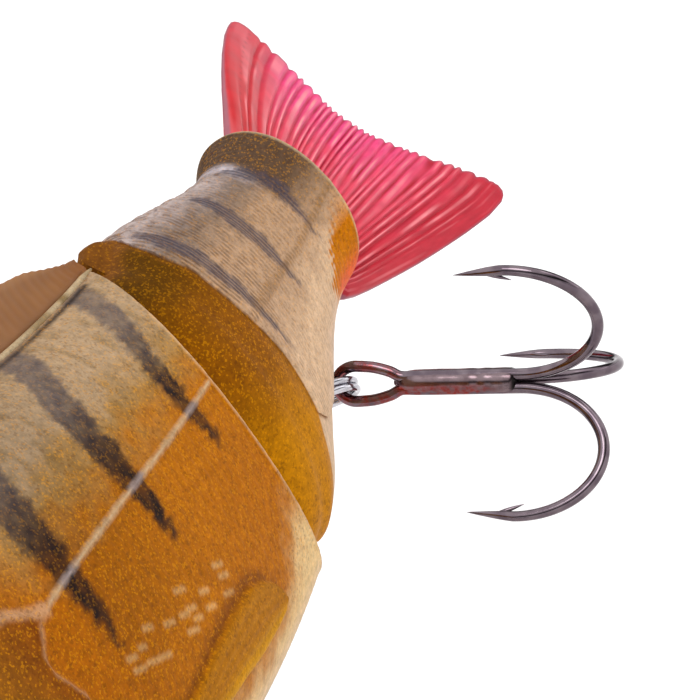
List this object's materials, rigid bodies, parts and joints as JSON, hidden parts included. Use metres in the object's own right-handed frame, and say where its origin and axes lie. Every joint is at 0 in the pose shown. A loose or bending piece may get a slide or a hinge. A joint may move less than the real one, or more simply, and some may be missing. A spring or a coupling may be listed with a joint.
{
  "type": "swimbait",
  "caption": "Jointed perch-pattern fishing lure: hard two-section body on a vertical hinge pin, soft ribbed tail, and treble hooks on split rings.",
  "frame": {"origin": "centre of the wire loop at the nose, where the fishing line is tied", "axes": "+X from the nose to the tail, +Z towards the back, so -Y is the fish's left side"},
  "size_m": [0.2008, 0.0548, 0.0954],
  "materials": {
    "front_skin": "painted perch pattern, gold with dark bars, under a clear gloss coat",
    "tail_skin": "painted tan with thin grey bars, under a clear gloss coat",
    "soft_tail": "translucent pink-red soft plastic",
    "dorsal": "translucent brown soft plastic",
    "steel": "bright stainless wire",
    "black_nickel": "black nickel plated hook wire",
    "lead": "cast lead, dull",
    "brass": "drawn brass tube",
    "eye": "clear domed resin over a gold iris and a black pupil"
  },
  "bodies": {
    "front": {"front_shell_left": "front_skin", "front_shell_right": "front_skin", "line_tie_eyelet": "steel", "front_hook_hanger": "steel", "upper_hinge_eyelet": "steel", "lower_hinge_eyelet": "steel", "front_ballast": "lead", "rattle_tube": "brass", "rattle_tube_plug": "brass", "left_eye": "eye", "right_eye": "eye", "front_dorsal_fin": "dorsal", "rear_dorsal_fin": "dorsal"},
    "tail": {"tail_shell_left": "tail_skin", "tail_shell_right": "tail_skin", "hinge_pin": "steel", "rear_hook_hanger": "steel", "rear_ballast": "lead", "tail_fin_plug": "soft_tail"},
    "tail_fin": {"tail_fin_blade": "soft_tail"},
    "front_ring": {"front_split_ring": "steel"},
    "front_treble": {"front_treble_double": "black_nickel", "front_treble_third": "black_nickel"},
    "rear_ring": {"rear_split_ring": "steel"},
    "rear_treble": {"rear_treble_double": "black_nickel", "rear_treble_third": "black_nickel"},
    "rattle": {"rattle_ball": "steel"}
  },
  "joints": [
    {"name": "tail_hinge", "type": "hinge", "parent": "front", "child": "tail", "pos_m": [0.114, 0, 0], "axis": [0, 0, 1], "range_deg": [-35, 35]},
    {"name": "tail_fin_flex", "type": "hinge", "parent": "tail", "child": "tail_fin", "pos_m": [0.1575, 0, 0.002], "axis": [0, 0, 1], "range_deg": [-20, 20], "stiffness_Nm_per_rad": 0.02},
    {"name": "front_ring_swing", "type": "hinge", "parent": "front", "child": "front_ring", "pos_m": [0.046, 0, -0.022], "axis": [0, 1, 0], "range_deg": [-45, 45]},
    {"name": "front_treble_slide", "type": "hinge", "parent": "front_ring", "child": "front_treble", "pos_m": [0.046, 0, -0.02605], "axis": [1, 0, 0], "range_deg": [-45, 45]},
    {"name": "rear_ring_swing", "type": "hinge", "parent": "tail", "child": "rear_ring", "pos_m": [0.1391, 0, -0.0149], "axis": [0, 1, 0], "range_deg": [-5, 58]},
    {"name": "rear_treble_slide", "type": "hinge", "parent": "rear_ring", "child": "rear_treble", "pos_m": [0.14254, 0, -0.01704], "axis": [0.5291, 0, 0.8486], "range_deg": [-15, 100]},
    {"name": "rattle_roll", "type": "slide", "parent": "front", "child": "rattle", "axis": [1, 0, 0], "range_m": [-0.0027, 0.0031]}
  ]
}
